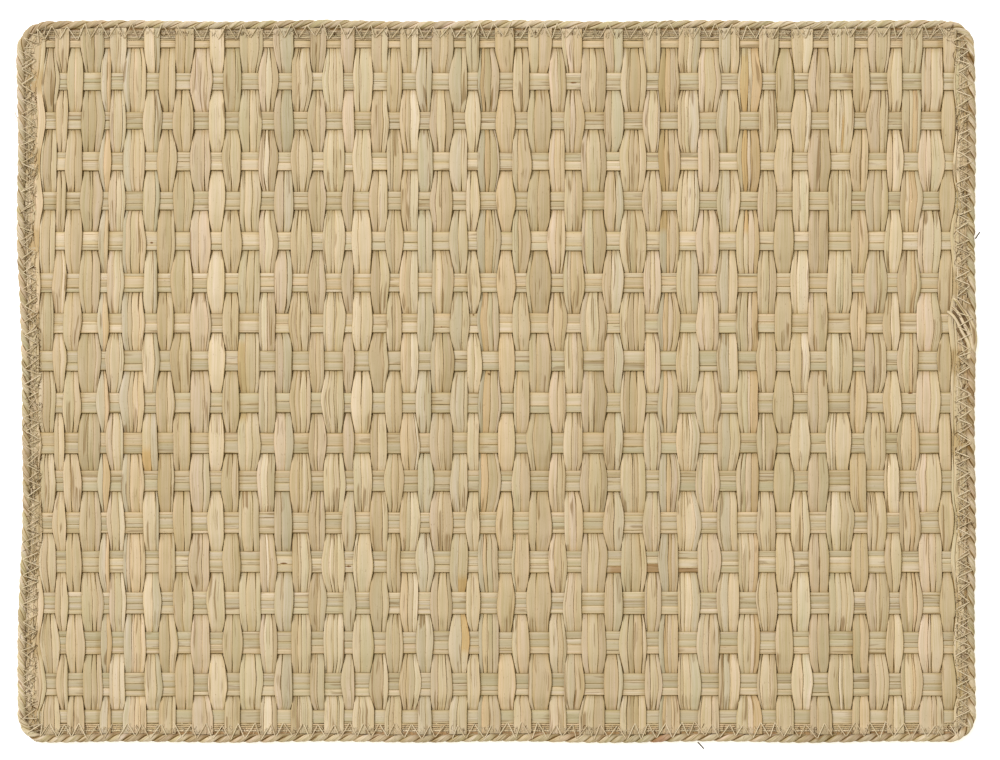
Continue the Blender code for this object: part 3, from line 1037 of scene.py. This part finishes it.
TAIL_SHADOWS = (
    # a group for each painted shadow: a dark flat leaf between two tails, with x, y, height
    (
        (0.2134, 0.0332, 0.0034),
        (0.2158, 0.0294, 0.0036),
        (0.2180, 0.0250, 0.0037),
        (0.2206, 0.0204, 0.0036),
        (0.2216, 0.0168, 0.0030),
    ),
    (
        (0.2152, 0.0358, 0.0034),
        (0.2176, 0.0314, 0.0038),
        (0.2198, 0.0276, 0.0040),
        (0.2218, 0.0232, 0.0038),
        (0.2226, 0.0190, 0.0030),
    ),
    (
        (0.2154, 0.0250, 0.0030),
        (0.2166, 0.0228, 0.0034),
        (0.2190, 0.0190, 0.0036),
        (0.2205, 0.0156, 0.0036),
    ),
)
TAIL_STEP = CORD_STEP * 0.8
TAIL_TINT = linear(220, 197, 155)
TAIL_TONE, TAIL_RIPPLE = 0.06, 900
TAIL_SIDES = 14
# TAIL_DARKNESS paints shade on the tails' sides.
TAIL_LOBES, TAIL_DARKNESS = 0.07, 0.95
TAIL_SEED = 720
SHADOW_HALF_WIDTH = 0.0008
SHADOW_TINT = linear(108, 80, 50)
SHADOW_SEED = 740

cord_chance = np.random.default_rng(31)
cord_leaf = leaf_material(
    "cord_leaf", 0.75, splits=0.8, margins=0.85, specks=0.6, bump=0.7, roughness=0.70, unbroken=0.10
)


def even_steps(points, step):
    """Walks a line of points in nearly equal steps, smoothed a little."""
    lengths = np.concatenate([[0], np.cumsum(np.linalg.norm(np.diff(points, axis=0), axis=1))])
    wanted = np.linspace(0, lengths[-1], int(lengths[-1] / step))
    walked = np.stack([np.interp(wanted, lengths, points[:, i]) for i in range(points.shape[1])], axis=1)
    for _ in range(3):
        walked[1:-1] = (walked[:-2] + 2 * walked[1:-1] + walked[2:]) / 4
    return walked, wanted


cord_points = outline(CORD_RADIUS, UPPER_END_Y, LOWER_END_Y, step=ROUTE_STEP)
cord_line, cord_way = even_steps(cord_points, CORD_STEP)
thinning = np.clip((cord_way[-1] - cord_way) / THIN_REACH, THINNEST, 1)
cord_line = np.column_stack([cord_line, CORD_RADIUS * thinning + CORD_CLEARANCE])
cord_along = np.gradient(cord_line, axis=0)
cord_along /= np.linalg.norm(cord_along, axis=1, keepdims=True)
cord_side = np.cross(cord_along, (0, 0, 1))
cord_up = np.cross(cord_side, cord_along)
cord_marks = np.linspace(0, cord_way[-1], CORD_MARKS)


def along_cord(low, high):
    """A random course along the cord, with a value at each of its marks."""
    return np.interp(cord_way, cord_marks, cord_chance.uniform(low, high, CORD_MARKS))


unevenly = along_cord(-TWIST_SHAKE, TWIST_SHAKE)
cord_pace = np.where(cord_line[:, 1] > TOP_ZONE_Y, TOP_TURN, CORD_TURN)
cord_turn = math.tau * np.cumsum(np.gradient(cord_way) / cord_pace) + unevenly
brown_way = np.linalg.norm(cord_line[:, :2] - np.array(BROWN_PATCH), axis=1)
brown = np.clip(BROWN_EDGE - brown_way / BROWN_REACH, 0, 1)[:, None] * BROWN_STRENGTH
reach = STRAND_REACH * (1 + REACH_SHAKE * along_cord(-1, 1)) * thinning
# shady grows on the right and bottom, where the cord faces away from the lamp; it deepens the painted shade.
shady = np.clip((cord_side[:, 0] - cord_side[:, 1]) * SHADY_SHARE, 0, 1)

cord = Leaves()
for strand in range(2):
    angle = cord_turn + math.pi * strand
    outward = cord_side * np.cos(angle)[:, None] + cord_up * np.sin(angle)[:, None]
    middle = cord_line + outward * reach[:, None]
    shade = along_cord(*STRAND_TONES)
    bases = np.array([pick_tint(cord_chance, CORD_TINTS) for _ in cord_marks])
    tint = np.stack([np.interp(cord_way, cord_marks, bases[:, i]) for i in range(3)], axis=1) * shade[:, None]
    # Painted shade on the strand's side towards the mat.
    hollow = (np.clip(-np.cos(angle), 0, 1) ** 2 * (HOLLOW_LEAST + HOLLOW_SHADY * shady))[:, None]
    tint = tint * (1 - hollow + HOLLOW_PAINTED_SHADE * hollow)
    if strand:
        tint = tint * (1 - brown) + BROWN_TINT * brown
    swell = (1 + SWELL_SHAKE * along_cord(-1, 1)) * thinning
    radii = (STRAND_ALONG * swell, STRAND_ACROSS * swell)
    look = {"lobes": STRAND_LOBES, "shaded": STRAND_DARKNESS + SHADY_DARKNESS * shady}
    cord.tube(middle, outward, *radii, STRAND_SIDES, tint, STRAND_SEED + strand, **look)

for tail in TAILS:
    places, way = even_steps(np.array(tail), TAIL_STEP)
    shade = 1 + TAIL_TONE * np.sin(way * TAIL_RIPPLE)
    tint = TAIL_TINT * TONE * shade[:, None]
    radii = (places[:, 3], places[:, 4])
    look = {"lobes": TAIL_LOBES, "shaded": TAIL_DARKNESS}
    cord.tube(places[:, :3], (0, 0, 1), *radii, TAIL_SIDES, tint, TAIL_SEED + len(places), **look)
for shadow in TAIL_SHADOWS:
    places, _ = even_steps(np.array(shadow), CORD_STEP)
    flat = np.zeros(len(places))
    cord.leaf(places, flat + SHADOW_HALF_WIDTH, LEAF_THICKNESS, flat, flat, SHADOW_TINT, SHADOW_SEED)
edge_cord = cord.piece("edge_cord_strands", cord_leaf)
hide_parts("edge_cord")


# The sewing: pale thread that goes to and fro between the cord and the weave, through both, with a second
# line along the sides, a fine seam over it and another line underneath. Short torn fibres of the leaf stick
# out all along it, and three stray ones at the mat's edges.

THREAD_TINTS = (
    (linear(230, 209, 169), 3),
    (linear(216, 192, 151), 2),
)
THREAD_LIFT, THREAD_DIP = 1.1, 3
THREAD_SEEDS = 9
RAY_START = 0.02
STITCH_REACH = 0.0037
FINE_REACH = 0.0013
SEAMS = (
    # its rows' two insets, stitch, face, radius, samples, sides, seed, least distance from the middle line
    (0.0022, 0.0089, STITCH_REACH, 1, 0.00023, 12, 5, 800, 0.0),
    (0.0030, 0.0082, STITCH_REACH * 1.13, 1, 0.00016, 10, 4, 810, 0.2030),
    (0.0042, 0.0072, FINE_REACH, 1, 0.00010, 5, 3, 820, 0.0),
    (0.0030, 0.0088, STITCH_REACH, -1, 0.00020, 8, 4, 840, 0.0),
)
HOLE_SHAKE = 0.13
HOLE_SLIP = 0.26
HIDDEN_STITCHES = 0.08
FINE_THREAD = 0.0002
WALK_STEP = 0.0005
TAILS_X = 0.2
TAILS_Y = (0.013, 0.039)

# The dark brown fibres are partly torn fibre and partly painted shade among the fibres and stitches.
FIBRE_TINTS = (
    (linear(222, 200, 157), 5),
    (linear(204, 178, 134), 3),
    (linear(106, 72, 35), 4),
)
FIBRE_INSET = 0.0042
FIBRE_PLACE_STEP = 0.0001
FIBRE_LIMIT = 0.0054
# how many, how far in from the inset they begin, shortest, longest, how far they turn from straight inwards
SIDE_FIBRES = (1500, 0.0052, 0.0014, 0.0044, math.pi)
END_FIBRES = (1000, 0.0026, 0.0009, 0.0024, 0.7)
FIBRE_RADII = (0.00007, 0.00016)
FIBRE_CURL = 0.35
FIBRE_DIP = 0.0001
FIBRE_SAMPLES, FIBRE_SIDES = 5, 3
FIBRE_SEED, FIBRE_SEEDS = 860, 20
ON_TAILS_SHARE = 5

STRAY_DARK = linear(76, 66, 58)
STRAY_PALE = linear(206, 194, 172)
STRAYS = (
    # radius, colour and the points it runs through, with x, y, height
    (0.00032, STRAY_DARK, ((0.2238, 0.0668, 0.0030), (0.2248, 0.0683, 0.0034), (0.2259, 0.0699, 0.0030))),
    (0.00032, STRAY_DARK, ((0.0940, -0.1688, 0.0030), (0.0953, -0.1702, 0.0026), (0.0968, -0.1719, 0.0018))),
    (0.00024, STRAY_PALE, ((-0.2242, 0.1230, 0.0026), (-0.2250, 0.1242, 0.0028), (-0.2256, 0.1261, 0.0024))),
)
STRAY_STEP = 0.0003
STRAY_SIDES = 6
STRAY_SEED = 890

thread_chance = np.random.default_rng(47)
thread = leaf_material("sewing_thread", 0.25, splits=0.0, margins=0.0, specks=0.2, bump=0.3, roughness=0.75)
surfaces = [*warp_pieces, weft_bands, twined_rows, edge_cord]
depsgraph = bpy.context.evaluated_depsgraph_get()
trees = [BVHTree.FromObject(surface, depsgraph) for surface in surfaces]


def surface_height(x, y, face):
    """The height of the outermost leaf there: face is 1 for the upper side and -1 for the lower one."""
    start = Vector((x, y, RAY_START * face))
    hits = [tree.ray_cast(start, Vector((0, 0, -face)))[0] for tree in trees]
    heights = [hit.z * face for hit in hits if hit is not None]
    return max(heights) * face if heights else MIDDLE_HEIGHT


def pulled_taut(heights):
    """Lifts a slack line of heights to the straight runs between its high points."""
    taut = heights.copy()
    count = len(heights)
    for first in range(count):
        for last in range(first + 2, count):
            run = np.linspace(heights[first], heights[last], last - first + 1)
            taut[first : last + 1] = np.maximum(taut[first : last + 1], run)
    return taut


def lay_thread(leaves, start, end, face, radius, samples, sides, tint, seed, dip, curl=0.0):
    """Lays a thread on the mat. dip is how deep its two ends go in, and curl bends it sideways."""
    share = np.linspace(0, 1, samples)
    bow = curl * np.sin(share * math.pi)
    x = start[0] + (end[0] - start[0]) * share - (end[1] - start[1]) * bow
    y = start[1] + (end[1] - start[1]) * share + (end[0] - start[0]) * bow
    heights = np.array([surface_height(x[i], y[i], face) * face for i in range(samples)])
    z = pulled_taut(heights) + radius * THREAD_LIFT
    z[0] -= dip
    z[-1] -= dip
    middle = np.stack([x, y, z * face], axis=1)
    leaves.tube(middle, (0, 0, 1), radius, radius, sides, tint, seed)


def seam_points(inset, step):
    """Points in equal steps round the mat, with the way inwards at each."""
    walked, way = even_steps(outline(inset, step=COARSE_STEP), WALK_STEP)
    along = np.gradient(walked, axis=0)
    along /= np.linalg.norm(along, axis=1, keepdims=True)
    wanted = np.arange(0.0, way[-1], step)
    point = np.stack([np.interp(wanted, way, walked[:, i]) for i in range(2)], axis=1)
    heading = np.stack([np.interp(wanted, way, along[:, i]) for i in range(2)], axis=1)
    return point, np.stack([-heading[:, 1], heading[:, 0]], axis=1)


def on_tails(point):
    """Whether a point is where the cord's tails lie."""
    return point[0] > TAILS_X and TAILS_Y[0] < point[1] < TAILS_Y[1]


def zigzag(leaves, near, far, reach, face, radius, samples, sides, seed, from_x):
    """Sews to and fro between two distances from the mat's outline, moving on by reach at each stitch.

    Only the stitches further than from_x from the middle line are laid, and fine ones leave out the tails.
    """
    point, inward = seam_points(near, reach)
    holes = []
    for number in range(len(point)):
        shake = thread_chance.uniform(-HOLE_SHAKE, HOLE_SHAKE)
        depth = (far - near) * (number % 2) + shake * (far - near)
        slip = thread_chance.uniform(-HOLE_SLIP, HOLE_SLIP) * reach
        sideways = np.array([inward[number][1], -inward[number][0]])
        holes.append(point[number] + inward[number] * depth + sideways * slip)
    for number, (start, end) in enumerate(zip(holes, holes[1:])):
        tint = pick_tint(thread_chance, THREAD_TINTS)
        hidden = thread_chance.random() < HIDDEN_STITCHES or (radius < FINE_THREAD and on_tails(start))
        if abs(start[0]) > from_x and not hidden:
            look = (radius, samples, sides, tint, seed + number % THREAD_SEEDS)
            lay_thread(leaves, start, end, face, *look, dip=radius * THREAD_DIP)


def torn_fibres(leaves, places, total, depth, shortest, longest, fan):
    """Adds torn fibres at random ones of the places. Only one in ON_TAILS_SHARE stays where the tails lie."""
    for number in range(total):
        pick = places[int(thread_chance.integers(len(places)))]
        inward = torn_inward[pick]
        base = torn_point[pick] + inward * thread_chance.uniform(0.0, depth)
        if on_tails(base) and number % ON_TAILS_SHARE:
            continue
        way = math.atan2(inward[1], inward[0]) + thread_chance.uniform(-fan, fan)
        end = base + thread_chance.uniform(shortest, longest) * np.array([math.cos(way), math.sin(way)])
        past = float((end - torn_point[pick]) @ inward) - FIBRE_LIMIT
        end = end - inward * max(0.0, past)
        tint = pick_tint(thread_chance, FIBRE_TINTS)
        radius = thread_chance.uniform(*FIBRE_RADII)
        curl = thread_chance.uniform(-FIBRE_CURL, FIBRE_CURL)
        look = (radius, FIBRE_SAMPLES, FIBRE_SIDES, tint, FIBRE_SEED + number % FIBRE_SEEDS)
        lay_thread(leaves, base, end, 1, *look, dip=FIBRE_DIP, curl=curl)


sewing = Leaves()
for seam in SEAMS:
    zigzag(sewing, *seam)
torn_point, torn_inward = seam_points(FIBRE_INSET, FIBRE_PLACE_STEP)
on_side = np.abs(torn_point[:, 0]) > SIDE_X
torn_fibres(sewing, np.flatnonzero(on_side), *SIDE_FIBRES)
torn_fibres(sewing, np.flatnonzero(~on_side), *END_FIBRES)
for radius, tint, points in STRAYS:
    places, _ = even_steps(np.array(points), STRAY_STEP)
    sewing.tube(places, (0, 0, 1), radius, radius, STRAY_SIDES, tint, STRAY_SEED)
edge_sewing = sewing.piece("edge_sewing", thread)
